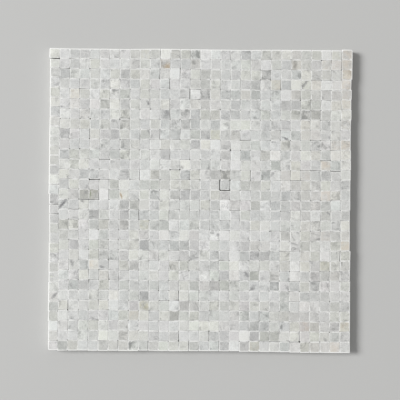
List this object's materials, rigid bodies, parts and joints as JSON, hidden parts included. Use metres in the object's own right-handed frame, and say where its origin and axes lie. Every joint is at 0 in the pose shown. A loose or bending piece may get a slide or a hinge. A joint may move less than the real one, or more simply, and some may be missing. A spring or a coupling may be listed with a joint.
{
  "type": "mosaic tile sheet",
  "caption": "Square mesh-backed sheet of small tumbled pale grey marble mosaic squares, set almost edge to edge in straight columns.",
  "frame": {"origin": "middle of the sheet, on the underside of the backing mesh", "axes": "+Z out of the honed face, +Y along the columns of stone squares towards the edge where the last column stands proud, +X across the columns, from the column with one square more"},
  "size_m": [0.3064, 0.3067, 0.01],
  "materials": {
    "marble": "honed and tumbled, pale grey with soft grey veins",
    "backing_mesh": "white resin-coated glass-fibre scrim"
  },
  "bodies": {
    "root": {"chip_column_01": "marble", "chip_column_02": "marble", "chip_column_03": "marble", "chip_column_04": "marble", "chip_column_05": "marble", "chip_column_06": "marble", "chip_column_07": "marble", "chip_column_08": "marble", "chip_column_09": "marble", "chip_column_10": "marble", "chip_column_11": "marble", "chip_column_12": "marble", "chip_column_13": "marble", "chip_column_14": "marble", "chip_column_15": "marble", "chip_column_16": "marble", "chip_column_17": "marble", "chip_column_18": "marble", "chip_column_19": "marble", "chip_column_20": "marble", "chip_column_21": "marble", "chip_column_22": "marble", "chip_column_23": "marble", "chip_column_24": "marble", "chip_column_25": "marble", "chip_column_26": "marble", "chip_column_27": "marble", "chip_column_28": "marble", "chip_column_29": "marble", "chip_column_30": "marble", "backing_mesh_1_1": "backing_mesh", "backing_mesh_1_2": "backing_mesh", "backing_mesh_1_3": "backing_mesh", "backing_mesh_2_1": "backing_mesh", "backing_mesh_2_2": "backing_mesh", "backing_mesh_2_3": "backing_mesh", "backing_mesh_3_1": "backing_mesh", "backing_mesh_3_2": "backing_mesh", "backing_mesh_3_3": "backing_mesh"}
  },
  "joints": []
}
